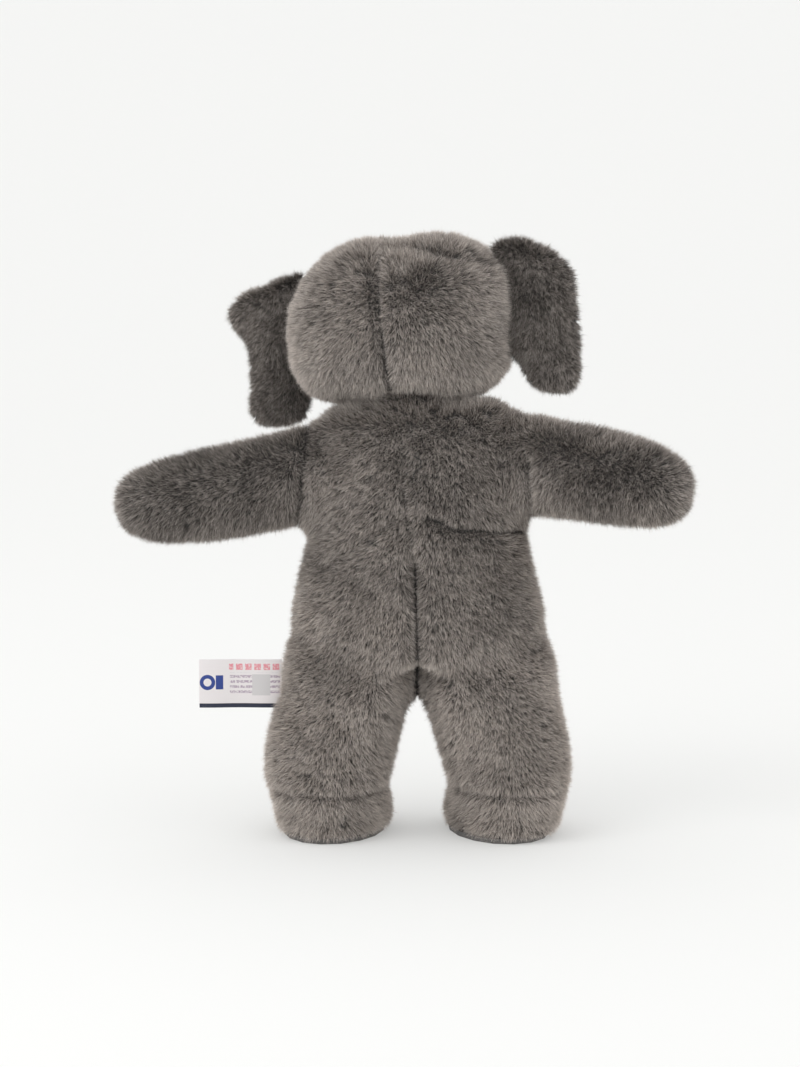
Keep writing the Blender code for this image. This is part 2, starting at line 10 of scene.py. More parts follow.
import bpy
import numpy as np
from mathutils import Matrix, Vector

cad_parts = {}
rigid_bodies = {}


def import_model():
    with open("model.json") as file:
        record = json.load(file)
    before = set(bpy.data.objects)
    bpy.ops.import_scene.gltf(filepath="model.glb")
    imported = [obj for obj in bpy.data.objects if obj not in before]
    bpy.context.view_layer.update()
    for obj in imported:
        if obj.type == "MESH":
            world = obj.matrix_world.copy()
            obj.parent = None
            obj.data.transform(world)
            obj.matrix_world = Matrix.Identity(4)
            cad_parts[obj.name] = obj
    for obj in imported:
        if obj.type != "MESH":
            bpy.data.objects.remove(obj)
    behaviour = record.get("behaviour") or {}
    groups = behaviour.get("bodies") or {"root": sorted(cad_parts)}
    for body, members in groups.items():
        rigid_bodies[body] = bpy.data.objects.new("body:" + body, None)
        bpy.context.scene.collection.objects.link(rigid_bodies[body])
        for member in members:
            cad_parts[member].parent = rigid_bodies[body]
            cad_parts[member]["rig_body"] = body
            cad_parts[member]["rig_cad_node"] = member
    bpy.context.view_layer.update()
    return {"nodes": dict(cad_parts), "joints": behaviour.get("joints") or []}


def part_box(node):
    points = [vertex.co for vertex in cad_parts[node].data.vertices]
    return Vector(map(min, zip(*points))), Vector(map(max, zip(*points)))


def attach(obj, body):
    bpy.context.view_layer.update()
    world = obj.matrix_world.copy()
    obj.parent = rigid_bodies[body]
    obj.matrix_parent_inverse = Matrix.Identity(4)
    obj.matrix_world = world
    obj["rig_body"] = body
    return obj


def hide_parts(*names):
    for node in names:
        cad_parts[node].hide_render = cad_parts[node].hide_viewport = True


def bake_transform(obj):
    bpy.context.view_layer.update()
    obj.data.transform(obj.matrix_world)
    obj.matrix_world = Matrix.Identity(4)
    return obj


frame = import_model()
nodes = frame["nodes"]
joints = {joint["name"]: joint for joint in frame["joints"]}
print("nodes:", len(nodes), "joints:", len(joints))

# %% [markdown]
# ## Small tools
# Every operator works on what is selected, so each step first deselects everything and picks one
# object. `Value` lets a shader's arithmetic be written as ordinary sums.

# %% Selecting, and applying modifiers
def pick(*items):
    bpy.ops.object.select_all(action="DESELECT")
    for item in items:
        item.select_set(True)
    bpy.context.view_layer.objects.active = items[0]
    return items[0]


def modify(item, kind, **settings):
    pick(item)
    modifier = item.modifiers.new(kind.title(), kind)
    for key, value in settings.items():
        setattr(modifier, key, value)
    bpy.ops.object.modifier_apply(modifier=modifier.name)
    return item


# %% Shader arithmetic
class Value:
    def __init__(self, tree, socket):
        self.tree, self.socket = tree, socket

    def math(self, operation, *others):
        node = self.tree.nodes.new("ShaderNodeMath")
        node.operation = operation
        for slot, item in zip(node.inputs, (self, *others)):
            if isinstance(item, Value):
                self.tree.links.new(item.socket, slot)
            else:
                slot.default_value = item
        return Value(self.tree, node.outputs[0])

    def __add__(self, other):
        return self.math("ADD", other)

    def __sub__(self, other):
        return self.math("SUBTRACT", other)

    def __mul__(self, other):
        return self.math("MULTIPLY", other)

    def __gt__(self, other):
        return self.math("GREATER_THAN", other)

    def __lt__(self, other):
        return self.math("LESS_THAN", other)


class Finish:
    """One material, with its Principled shader ready to be fed."""

    def __init__(self, name, **constants):
        self.material = bpy.data.materials.new(name)
        self.material.use_nodes = True
        self.tree = self.material.node_tree
        self.shader = self.tree.nodes["Principled BSDF"]
        for key, value in constants.items():
            self.shader.inputs[key.replace("_", " ")].default_value = value

    def node(self, kind, settings=None, **sockets):
        node = self.tree.nodes.new("ShaderNode" + kind)
        for key, value in (settings or {}).items():
            setattr(node, key, value)
        for key, value in sockets.items():
            slot = node.inputs[int(key[1:])] if key[1:].isdigit() else node.inputs[key.replace("_", " ")]
            if isinstance(value, Value):
                self.tree.links.new(value.socket, slot)
            else:
                slot.default_value = value
        return node

    def value(self, node, output=0):
        return Value(self.tree, node.outputs[output])

    def ramp(self, factor, *stops):
        node = self.node("ValToRGB", Fac=factor)
        points = node.color_ramp.elements
        points[0].position, points[0].color = stops[0]
        points[1].position, points[1].color = stops[-1]
        for place, colour in stops[1:-1]:
            points.new(place).color = colour
        return self.value(node)

    def mix(self, factor, first, second, blend="MIX"):
        node = self.node("Mix", {"data_type": "RGBA", "blend_type": blend}, _0=factor, _6=first, _7=second)
        return self.value(node, 2)

    def feed(self, name, value):
        self.tree.links.new(value.socket, self.shader.inputs[name])

    def bump(self, height, strength, distance):
        node = self.node("Bump", Strength=strength, Distance=distance, Height=height)
        self.feed("Normal", self.value(node))


def grey(level, warm=0.0):
    return (level * (1 + warm), level, level * (1 - 0.8 * warm), 1.0)


# %% [markdown]
# ## Materials
# The fibres take their colour from their own UV map: across is the fibre's tone, which also carries painted shade,
# and up is the height along the fibre, darker at the root as painted shade deep in the pile and pale at the tip.

# %% Fur, backing cloth, plastics, thread and tapes
fur = Finish("short_grey_pile", Roughness=0.75)
strand = fur.node("SeparateXYZ", Vector=fur.value(fur.node("UVMap", {"uv_map": "strand"})))
tone, height = fur.value(strand, 0), fur.value(strand, 1)
# painted shade: each fibre darkens towards its root, deep in the pile
shade = fur.ramp(height, (0.0, grey(0.06, 0.13)), (0.4, grey(0.42, 0.12)), (1.0, grey(1.0, 0.10)))
fur.feed("Base Color", fur.mix(1.0, shade, fur.ramp(tone, (0.0, grey(0.16)), (0.5, grey(0.66)), (1.0, grey(1.0))), "MULTIPLY"))
fur.shader.inputs["Specular IOR Level"].default_value = 0.25

backing = Finish("knitted_backing", Roughness=0.9)
place = backing.value(backing.node("TexCoord"), 3)
knit = backing.value(backing.node("TexNoise", Vector=place, Scale=900.0, Detail=2.0))
backing.feed("Base Color", backing.ramp(knit, (0.3, grey(0.035, 0.05)), (0.7, grey(0.06, 0.05))))
backing.bump(knit, 0.4, 0.0005)

plastic = Finish("black_plastic", Roughness=0.12, Specular_IOR_Level=0.35, Base_Color=(0.006, 0.006, 0.007, 1))
place = plastic.value(plastic.node("TexCoord"), 3)
smear = plastic.value(plastic.node("TexNoise", Vector=place, Scale=160.0, Detail=4.0))
plastic.feed("Roughness", smear * 0.16 + 0.05)
plastic.feed("Base Color", plastic.ramp(smear, (0.3, grey(0.005)), (0.8, grey(0.011))))

clasp = Finish("white_plastic", Roughness=0.4)
place = clasp.value(clasp.node("TexCoord"), 3)
grain = clasp.value(clasp.node("TexNoise", Vector=place, Scale=500.0))
clasp.feed("Base Color", clasp.ramp(grain, (0.3, grey(0.70)), (0.7, grey(0.78))))

thread = Finish("black_thread", Roughness=0.7)
place = thread.value(thread.node("TexCoord"), 3)
ply = thread.value(thread.node("TexWave", {"bands_direction": "DIAGONAL"}, Vector=place, Scale=700.0))
thread.feed("Base Color", thread.ramp(ply, (0.2, grey(0.012)), (0.8, grey(0.035))))
thread.bump(ply, 0.5, 0.0003)

fibre = Finish("hollow_fibre_filling", Roughness=0.95)
place = fibre.value(fibre.node("TexCoord"), 3)
fluff = fibre.value(fibre.node("TexNoise", Vector=place, Scale=250.0, Detail=6.0))
fibre.feed("Base Color", fibre.ramp(fluff, (0.3, grey(0.55)), (0.7, grey(0.8))))
fibre.bump(fluff, 0.6, 0.001)

sole_cloth = Finish("sole_cloth", Roughness=0.9)
place = sole_cloth.value(sole_cloth.node("TexCoord"), 3)
nap = sole_cloth.value(sole_cloth.node("TexNoise", Vector=place, Scale=1100.0, Detail=3.0))
cloud = sole_cloth.value(sole_cloth.node("TexNoise", Vector=place, Scale=60.0, Detail=2.0))
sole_cloth.feed("Base Color", sole_cloth.ramp(nap * 0.7 + cloud * 0.3, (0.3, grey(0.07, 0.05)), (0.7, grey(0.17, 0.05))))
sole_cloth.bump(nap, 0.7, 0.0008)
print("materials:", len(bpy.data.materials))


def paint(item, finish):
    item.data.materials.clear()
    item.data.materials.append(finish.material)


# %% [markdown]
# ## Skins
# The body, arms and legs of a plush toy are one bag of cloth, so their panels and filling make one
# closed skin. It is swollen a little, remeshed and shrunk back, which rounds the armpits and the
# crotch the way stuffed cloth bridges them. Places below are in metres from `MIDDLE`, the point on the
# floor under the hips.

# %% Copying panels into one mesh, and closing it
hips = [Vector(joints[f"leg_{side}_swing"]["pos_m"]) for side in ("left", "right")]
MIDDLE = Vector((sum(hip.x for hip in hips) / 2, hips[0].y, 0))
print("middle:", [round(v, 4) for v in MIDDLE])


def soft_copy(name, parts):
    pick(*[nodes[part] for part in parts])
    bpy.ops.object.duplicate()
    copies = list(bpy.context.selected_objects)
    for copy in copies:
        copy.parent = None
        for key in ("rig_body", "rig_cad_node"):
            if key in copy:
                del copy[key]
    pick(*copies)
    bpy.ops.object.join()
    item = bpy.context.view_layer.objects.active
    item.name = item.data.name = name
    bpy.ops.object.mode_set(mode="EDIT")
    bpy.ops.mesh.select_all(action="SELECT")
    bpy.ops.mesh.remove_doubles(threshold=1e-5)
    bpy.ops.object.mode_set(mode="OBJECT")
    return item


def outer_only(item):
    """Drops the small closed pockets that a remesh leaves inside."""
    top = max(item.data.vertices, key=lambda v: v.co.z).index
    pick(item)
    bpy.ops.object.mode_set(mode="EDIT")
    bpy.ops.mesh.select_mode(type="VERT")
    bpy.ops.mesh.select_all(action="DESELECT")
    bpy.ops.object.mode_set(mode="OBJECT")
    item.data.vertices[top].select = True
    bpy.ops.object.mode_set(mode="EDIT")
    bpy.ops.mesh.select_linked()
    bpy.ops.mesh.select_all(action="INVERT")
    bpy.ops.mesh.delete(type="VERT")
    bpy.ops.object.mode_set(mode="OBJECT")


def one_skin(item, voxel, bridge, relax):
    modify(item, "REMESH", mode="VOXEL", voxel_size=voxel)
    outer_only(item)
    if bridge:
        modify(item, "DISPLACE", strength=bridge, mid_level=0)
        modify(item, "REMESH", mode="VOXEL", voxel_size=voxel)
        outer_only(item)
        modify(item, "DISPLACE", strength=-bridge, mid_level=0)
    modify(item, "SMOOTH", factor=0.5, iterations=relax)
    pick(item)
    bpy.ops.object.shade_smooth()
    paint(item, backing)
    print(item.name, "faces:", len(item.data.polygons))
    return item


# %% Shaping: a push moves cloth near a point, a crease draws it in along a line
def points_of(item):
    co = np.empty(len(item.data.vertices) * 3)
    item.data.vertices.foreach_get("co", co)
    return co.reshape(-1, 3)


def normals_of(item):
    no = np.empty(len(item.data.vertices) * 3)
    item.data.vertex_normals.foreach_get("vector", no)
    return no.reshape(-1, 3)


def set_points(item, co):
    item.data.vertices.foreach_set("co", co.reshape(-1))
    item.data.update()


def falloff(gap, radius):
    near = np.clip(1 - (gap / radius) ** 2, 0, 1)
    return near * near


def push(item, centre, radius, offset):
    """Moves what is near a centre (x, z), or (x, y, z), by an offset."""
    co = points_of(item)
    axes = [0, 2] if len(centre) == 2 else [0, 1, 2]
    gap = np.linalg.norm((co - MIDDLE)[:, axes] - np.array(centre), axis=1)
    set_points(item, co + falloff(gap, radius)[:, None] * np.array(offset))


def gap_to(points, line):
    """How far each point is from a line of (x, z) points, seen from the back."""
    flat = (points - MIDDLE)[:, [0, 2]]
    gap = np.full(len(points), 9.0)
    for first, last in zip(line[:-1], line[1:]):
        first, last = np.array(first), np.array(last)
        along = last - first
        share = np.clip((flat - first) @ along / (along @ along), 0, 1)
        gap = np.minimum(gap, np.linalg.norm(flat - first - share[:, None] * along, axis=1))
    return gap


def crease(item, line, facing, depth, width):
    """Draws cloth in along a line on the back (facing 1) or the front (-1)."""
    co, no = points_of(item), normals_of(item)
    side = np.clip(no[:, 1] * facing * 2, 0, 1)
    set_points(item, co - no * (np.exp(-((gap_to(co, line) / width) ** 2)) * side * depth)[:, None])


# %% The body's skin
SIDES = ("left", "right")
PARTS = {"torso": ["torso_back_left", "torso_back_right", "torso_front_left", "torso_front_right",
                   "torso_stuffing", "neck_stuffing"]}
for side in SIDES:
    PARTS[f"arm_{side}"] = [f"arm_{side}_{part}" for part in ("back", "front", "stuffing")]
    PARTS[f"leg_{side}"] = [f"leg_{side}_{part}" for part in ("back", "front", "stuffing")] + [
        f"foot_{side}_upper", f"foot_{side}_stuffing"]
PARTS["head"] = ["head_back_left", "head_back_right", "face_left", "face_right", "forehead_gusset",
                 "throat_gusset", "muzzle_upper", "muzzle_lower", "head_stuffing"]

body = one_skin(soft_copy("body_skin", sum((PARTS[p] for p in PARTS if p != "head"), [])), 0.0024, 0.0065, 22)
for centre, radius, offset in (
        ((-0.0002, 0.066), 0.026, (0, 0.001, 0.0140)),  # the crotch sits high
        ((-0.0407, 0.02), 0.05, (-0.003, 0, 0)),         # the right leg leans out
        ((-0.0687, 0.038), 0.040, (-0.0030, 0, 0)),      # both calves are plump
        ((0.0713, 0.038), 0.040, (0.0032, 0, 0)),
        ((0.0613, 0.110), 0.040, (0.0015, 0, 0)),
        ((-0.0617, 0.095), 0.055, (-0.003, 0, 0)),       # the right hip is fuller
        ((-0.0857, 0.178), 0.080, (0.0025, 0, 0.006)),   # the right arm is held higher
        ((-0.1357, 0.160), 0.040, (0.003, 0, 0)),
        ((0.1043, 0.165), 0.080, (0, 0, -0.0025)),       # and the left one lower
        ((-0.0457, 0.205), 0.030, (0, 0, 0.004)),        # shoulders
        ((0.0493, 0.203), 0.025, (0, 0, 0.003))):
    push(body, centre, radius, offset)
set_points(body, points_of(body) + normals_of(body) * 0.0006)
for x, y in ((0.030, -0.007), (0.0, -0.004), (-0.030, -0.007)):
    push(body, (x, -0.024, 0.078), 0.036, (0, y, 0))  # the thighs fill the lap
for x in (0.012, -0.012):
    push(body, (x, 0.026, 0.070), 0.026, (0, 0.0065, 0.002))  # and the seat is round behind
hip_band = body.vertex_groups.new(name="hips")
for vertex in body.data.vertices:
    front = min(1.0, max(0.0, (MIDDLE.y - 0.008 - vertex.co.y) / 0.012))
    hip_band.add([vertex.index], min(1.0, max(0.0, 1.5 - abs(vertex.co.z - 0.088) / 0.02)) * front, "REPLACE")
modify(body, "SMOOTH", factor=0.5, iterations=110, vertex_group="hips")

# Each seam or fold: its line, the side it is on, how deep and wide it is, and how far it parts the pile and darkens it
# with painted shade.
SEAMS = [
    ([(0.0073, 0.197), (0.0053, 0.165), (0.0013, 0.138)], 1, 0.0012, 0.0022, 0.40),
    ([(0.0011, 0.137), (0.0001, 0.105), (-0.0005, 0.066)], 1, 0.0056, 0.0034, 1.0),
    ([(0.0000, 0.197), (0.0000, 0.068)], -1, 0.0022, 0.0024, 0.60),
    ([(-0.0047, 0.1595), (-0.0177, 0.1535), (-0.0357, 0.1515), (-0.0577, 0.148)], 1, 0.0018, 0.0022, 1.0),
    ([(0.0083, 0.160), (0.0263, 0.147), (0.0423, 0.133)], 1, 0.0016, 0.0030, 0.30),
    ([(0.0506, 0.204), (0.0550, 0.177), (0.0571, 0.148)], 1, 0.0024, 0.0030, 0.65),
    ([(0.0506, 0.204), (0.0550, 0.177), (0.0571, 0.148)], -1, 0.0024, 0.0030, 0.65),
    ([(-0.0527, 0.186), (-0.0552, 0.148)], 1, 0.0030, 0.0030, 0.50),
    ([(-0.0517, 0.204), (-0.0552, 0.148)], -1, 0.0024, 0.0030, 0.60),
    ([(0.0123, 0.0245), (0.0703, 0.0255)], 1, 0.0016, 0.0024, 0.40),
    ([(-0.0137, 0.0255), (-0.0737, 0.0245)], 1, 0.0016, 0.0024, 0.40),
]
for line, facing, depth, width, _ in SEAMS:
    crease(body, line, facing, depth, width)

# %% The head and the ears
head = one_skin(soft_copy("head_skin", PARTS["head"]), 0.0022, 0.0, 6)
for centre, radius, offset in (
        ((-0.0357, 0.219), 0.028, (-0.011, 0, -0.001)),   # the right cheek
        ((0.0493, 0.220), 0.026, (0.004, 0, -0.004)),     # the left cheek
        ((-0.0217, 0.281), 0.030, (0, 0, 0.0065)),        # the top, pulled up by the right ear
        ((-0.0377, 0.272), 0.028, (-0.0040, 0, 0.003)),
        ((-0.0217, 0.214), 0.026, (0, 0.001, -0.003)),
        ((0.0343, 0.276), 0.030, (0.001, 0, 0.003))):
    push(head, centre, radius, offset)
HEAD_SEAMS = [([(0.0168, 0.300), (0.0183, 0.268), (0.0172, 0.248), (0.0112, 0.206)], 1, 0.0030, 0.0028, 1.0),
              ([(0.0160, 0.2865), (-0.0080, 0.2815), (-0.0340, 0.2770)], 1, 0.0018, 0.0040, 0.40)]
for line, facing, depth, width, _ in HEAD_SEAMS:
    crease(head, line, facing, depth, width)

ears = {side: one_skin(soft_copy(f"ear_{side}_skin", [f"ear_{side}_outer", f"ear_{side}_lining"]), 0.0018, 0.0, 6)
        for side in SIDES}
push(ears["left"], (0.0873, 0.254), 0.018, (0.004, 0, 0))
push(ears["left"], (0.0873, 0.236), 0.016, (-0.0055, 0, 0))
push(ears["left"], (0.0843, 0.220), 0.018, (-0.005, 0, 0))
push(ears["left"], (0.0743, 0.273), 0.018, (0, 0, -0.004))
push(ears["right"], (-0.0607, 0.245), 0.2, (-0.0012, 0.0085, 0.0065))
push(ears["right"], (-0.0707, 0.280), 0.016, (-0.001, 0, -0.001))
push(ears["right"], (-0.0477, 0.222), 0.016, (-0.003, 0, 0.004))
push(ears["right"], (-0.0747, 0.222), 0.020, (-0.002, 0, -0.003))
push(ears["right"], (-0.0510, 0.255), 0.030, (0.0040, 0.0020, 0.001))

# %% [markdown]
# ## Pile
# A fibre is one narrow tapered blade that leans along the nap. Neighbours lean together into small
# clumps, and rows of them overlap like tiles, which is what gives plush its dark partings. The partings
# and the rims of the clumps are also painted darker as shade.

# %% Growing the fibres
def unit(vectors):
    return vectors / np.maximum(np.linalg.norm(vectors, axis=1, keepdims=True), 1e-9)


def waves(points, rng, length, count=7):
    """Smooth noise between about -1 and 1, made of waves of about one length."""
    total = np.zeros(len(points))
    for _ in range(count):
        along = rng.normal(size=3)
        along /= np.linalg.norm(along)
        total += np.sin(points @ along * (2 * math.pi / (length * rng.uniform(0.7, 1.4))) + rng.uniform(0, 6.3))
    return total / math.sqrt(count)


def clump_centres(points, size, seed):
    """The nearest of the jittered centres of a grid of clumps, for each point."""
    cell = np.floor(points / size).astype(np.int64)
    best, where = np.full(len(points), 1e9), points.copy()
    for dx in (-1, 0, 1):
        for dy in (-1, 0, 1):
            for dz in (-1, 0, 1):
                near = cell + (dx, dy, dz)
                key = (near * (73856093, 19349663, 83492791)).sum(1) + seed * 7919
                jitter = np.stack([((key * m) % 10007) / 10007.0 for m in (1, 31, 577)], 1)
                centre = (near + jitter) * size
                gap = ((points - centre) ** 2).sum(1)
                closer = gap < best
                best[closer], where[closer] = gap[closer], centre[closer]
    return where


def grow(base, count, flow, seed, seams=(), tone=0.5, shaved=(), length=0.0048, width=0.00031, clump=0.0019, pull=0.42):
    """The fibres of one skin: their three corners each, their tone with painted shade, and their roots."""
    rng = np.random.default_rng(seed)
    mesh = base.data
    mesh.calc_loop_triangles()
    corners = np.empty(len(mesh.loop_triangles) * 3, np.int64)
    mesh.loop_triangles.foreach_get("vertices", corners)
    corners = corners.reshape(-1, 3)
    co, no = points_of(base), normals_of(base)
    a, b, c = (co[corners[:, i]] for i in range(3))
    area = np.linalg.norm(np.cross(b - a, c - a), axis=1) / 2
    ladder = np.cumsum(area)
    chosen = np.searchsorted(ladder, (np.arange(count) + rng.random(count)) / count * ladder[-1])
    chosen = np.minimum(chosen, len(area) - 1)
    s, t = rng.random(count), rng.random(count)
    over = s + t > 1
    s[over], t[over] = 1 - s[over], 1 - t[over]
    weights = np.stack([1 - s - t, s, t], 1)[:, :, None]
    root = (co[corners[chosen]] * weights).sum(1)
    normal = unit((no[corners[chosen]] * weights).sum(1))
    keep = (root[:, 2] > 0.0015) & ((root[:, 2] > 0.006) | (normal[:, 2] > -0.6))
    root, normal = root[keep], normal[keep]
    count = len(root)

    # painted shade: fibres near a seam are shorter, and painted darker by its share of parting
    parted = np.zeros(count)
    for line, facing, _, wide, share in seams:
        side = np.clip(normal[:, 1] * facing * 2, 0, 1)
        parted = np.maximum(parted, share * side * np.exp(-((gap_to(root, line) / (0.62 * wide)) ** 2)))

    trim = np.ones(count)
    for node, margin, left in shaved:
        low, high = (np.array(corner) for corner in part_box(node))
        gap = np.linalg.norm((root - (low + high) / 2) / ((high - low) / 2 + margin), axis=1)
        trim = np.minimum(trim, left + (1 - left) * np.clip((gap - 0.9) / 0.5, 0, 1))

    nap = flow(root, normal)
    steps = ((root - MIDDLE) * nap).sum(1) / 0.0075 + 0.5 * waves(root, rng, 0.020) + 0.22 * waves(root, rng, 0.007)
    terrace = (1 - steps % 1.0) * np.clip(0.35 + 1.1 * waves(root, rng, 0.009), 0, 1)
    # painted shade: fibres at the lower edge of each terrace, its parting, are shorter and painted darker
    edge = np.clip((terrace - 0.74) / 0.14, 0, 1)
    for axis in range(3):
        nap[:, axis] += 0.22 * waves(root, rng, 0.024) + 0.14 * waves(root, rng, 0.006)
    nap += rng.normal(size=(count, 3)) * 0.38
    nap = unit(nap - normal * (nap * normal).sum(1, keepdims=True))
    centre = clump_centres(root, clump, seed)
    inward = centre - root
    inward -= normal * (inward * normal).sum(1, keepdims=True)
    # painted shade: fibres at the rim of a clump are painted darker, and those at its middle lighter
    rim = np.clip(np.linalg.norm(inward, axis=1) / clump * 2.2 - 0.55, 0, 1)
    tuft = np.sin(centre @ (9173.0, 7919.0, 8831.0) * 61) * 0.5
    guard = np.where(rng.random(count) < 0.1, 1.25, 1.0)
    reach = (length * guard * rng.uniform(0.65, 1.1, count) * trim * (1 - 0.8 * parted) * (1 - 0.5 * edge) * (1 - 0.2 * rim))[:, None]
    lean = np.radians(24 + 34 * terrace + rng.normal(size=count) * 13)[:, None]
    tip = root + reach * (normal * np.cos(lean) + nap * np.sin(lean))
    tip += inward * pull

    turn = rng.normal(size=count)[:, None] * 0.7
    across = unit(np.cross(nap, normal))
    half = (across * np.cos(turn) + nap * np.sin(turn)) * width / 2 * rng.uniform(0.75, 1.25, count)[:, None]
    low = root - normal * 0.0004
    verts = np.stack([low - half, low + half, tip], 1)
    verts[:, :, 2] = np.maximum(verts[:, :, 2], 0.0003)
    # the tone is painted darker as shade at seams, terrace partings and clump rims, then varied at random
    tone_and_shade = (tone(root) if callable(tone) else tone) - 0.45 * parted - 0.35 * edge - 0.30 * (rim - 0.4)
    tone_and_shade = tone_and_shade + 0.06 * waves(root, rng, 0.03) + 0.22 * tuft + rng.normal(size=count) * 0.18
    print(base.name, "area:", round(float(ladder[-1]), 4), "fibres per square mm:", round(count / ladder[-1] / 1e6, 2))
    return verts, np.clip(tone_and_shade, 0.02, 0.97), root


def blades(name, verts, tone_and_shade):
    count = len(verts)
    mesh = bpy.data.meshes.new(name)
    mesh.vertices.add(count * 3)
    mesh.vertices.foreach_set("co", verts.reshape(-1).astype(np.float32))
    mesh.loops.add(count * 3)
    mesh.loops.foreach_set("vertex_index", np.arange(count * 3, dtype=np.int32))
    mesh.polygons.add(count)
    mesh.polygons.foreach_set("loop_start", np.arange(count, dtype=np.int32) * 3)
    mesh.update(calc_edges=True)
    for layer, spread in (("strand", 0.0), ("OFBake", 0.004)):
        uv = mesh.uv_layers.new(name=layer)
        across = tone_and_shade[:, None] + np.array([-1, 1, 0]) * spread
        up = np.broadcast_to(np.array([0.02, 0.02, 0.98]), across.shape)
        uv.data.foreach_set("uv", np.stack([across, up], 2).reshape(-1).astype(np.float32))
    item = bpy.data.objects.new(name, mesh)
    bpy.context.scene.collection.objects.link(item)
    paint(item, fur)
    print(name, "fibres:", count)
    return item


# %% [markdown]
# The nap runs down and outwards, as the cloth was cut and then stroked.

# %% The direction of the nap
def steady(x, y, z):
    return lambda points, normals: np.tile(np.array([x, y, z], float), (len(points), 1))


def body_nap(points, normals):
    """Down the back and legs, swinging outwards along the arms."""
    x = points[:, 0] - MIDDLE.x
    limb = np.clip((np.abs(x) - 0.045) / 0.03, 0, 1) * np.clip((points[:, 2] - 0.12) / 0.03, 0, 1)
    upper = np.clip((points[:, 2] - 0.09) / 0.06, 0, 1)
    out = np.zeros_like(points)
    out[:, 0] = 0.35 * upper * (1 - limb) + np.sign(x) * limb + 0.15 * np.sign(x) * (1 - upper)
    out[:, 2] = -1 + 0.3 * limb
    return out


def body_tone(points):
    """The arms are given a darker tone, and the legs are painted lighter, as painted light that they catch."""
    x = points[:, 0] - MIDDLE.x
    limb = np.clip((np.abs(x) - 0.045) / 0.03, 0, 1) * np.clip((points[:, 2] - 0.12) / 0.03, 0, 1)
    low = np.clip((0.135 - points[:, 2]) / 0.07, 0, 1)
    # painted light: the pile below the waist is painted lighter
    return 0.53 - np.where(x > 0, 0.22, 0.12) * limb + 0.17 * low


def head_nap(points, normals):
    out = np.zeros_like(points)
    out[:, 0] = (points[:, 0] - MIDDLE.x - 0.009) / 0.06 * 0.5
    out[:, 1] = -0.3
    out[:, 2] = -1
    return out


# %% [markdown]
# ## The trunk and the limbs
# The body's skin and its pile are cut into a trunk and four limbs.

# %% Where each limb begins, and the direction of the plane that cuts it off
WAIST = 0.135
BENDS = {
    "arm_left": (MIDDLE + Vector((0.044, 0, 0.160)), Vector((0.028, 0, 0.011))),
    "arm_right": (MIDDLE + Vector((-0.044, 0, 0.160)), Vector((-0.028, 0, 0.011))),
    "leg_left": (MIDDLE + Vector((0, 0, 0.075)), Vector((0.026, 0, -0.030))),
    "leg_right": (MIDDLE + Vector((0, 0, 0.075)), Vector((-0.026, 0, -0.030))),
}
UP, DOWN = Vector((0, 0, 1)), Vector((0, 0, -1))
LEFT, RIGHT = Vector((1, 0, 0)), Vector((-1, 0, 0))
waist, middle = Vector((0, 0, WAIST)), MIDDLE
CUTS = {
    "arm_left": [(waist, UP), BENDS["arm_left"]],
    "arm_right": [(waist, UP), BENDS["arm_right"]],
    "leg_left": [(waist, DOWN), (middle, LEFT)],
    "leg_right": [(waist, DOWN), (middle, RIGHT)],
    "torso": [(waist, UP), (BENDS["arm_left"][0], -BENDS["arm_left"][1]),
              (BENDS["arm_right"][0], -BENDS["arm_right"][1])],
}


def portion(name, cuts):
    """A copy of the body's skin, kept on the side of each cut that its direction points to."""
    pick(body)
    bpy.ops.object.duplicate()
    item = bpy.context.active_object
    item.name = item.data.name = name + "_skin"
    bpy.ops.object.mode_set(mode="EDIT")
    for point, direction in cuts:
        bpy.ops.mesh.select_all(action="SELECT")
        bpy.ops.mesh.bisect(plane_co=point, plane_no=direction, clear_inner=True, use_fill=True)
    bpy.ops.object.mode_set(mode="OBJECT")
    return item


def inside(points, cuts):
    kept = np.ones(len(points), bool)
    for point, direction in cuts:
        kept &= (points - np.array(point)) @ np.array(direction) >= 0
    return kept


# %% Growing the coats, and joining the trunk, head and ears to their bodies
verts, tone_and_shade, root = grow(body, 620000, body_nap, 11, SEAMS, body_tone)
for part, cuts in CUTS.items():
    cover = portion(part, cuts)
    kept = inside(root, cuts)
    coat = blades(part + "_pile", verts[kept], tone_and_shade[kept])
    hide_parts(*PARTS[part])
    for piece in (cover, coat):
        if part == "torso":
            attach(piece, part)
        else:
            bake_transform(piece)
bpy.data.objects.remove(body)

SHAVED = [("eye_left", 0.0012, 0.05), ("eye_right", 0.0012, 0.05), ("nose", 0.0010, 0.05), ("mouth_stitching", 0.0022, 0.22)]
coats = {"head": (head, 195000, head_nap, 12, HEAD_SEAMS, 0.55, SHAVED),
         "ear_left": (ears["left"], 72000, steady(0.2, 0, -1), 17, (), 0.23),
         "ear_right": (ears["right"], 72000, steady(-0.2, 0, -1), 18, (), 0.23)}
for part, (cover, *how) in coats.items():
    verts, tone_and_shade, root = grow(cover, *how)
    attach(blades(part + "_pile", verts, tone_and_shade), part)
    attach(cover, part)
    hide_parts(*PARTS.get(part, [part + "_outer", part + "_lining"]))

# %% [markdown]
# ## Hard pieces, stitching and label

# %% Finishes of the pieces that keep their shape
for name, node in nodes.items():
    if node.hide_render:
        continue
    if "washer" in name:
        paint(node, clasp)
    elif "eye" in name or name == "nose":
        paint(node, plastic)
    elif "stitch" in name:
        paint(node, thread)
    elif "sole" in name:
        paint(node, sole_cloth)
    elif "stuffing" in name:
        paint(node, fibre)

# %% [markdown]
# The eyes and the nose are moulded plastic buttons. Each starts as a sphere, is flattened, and gets
# a shank pulled out of its back that goes through the cloth.

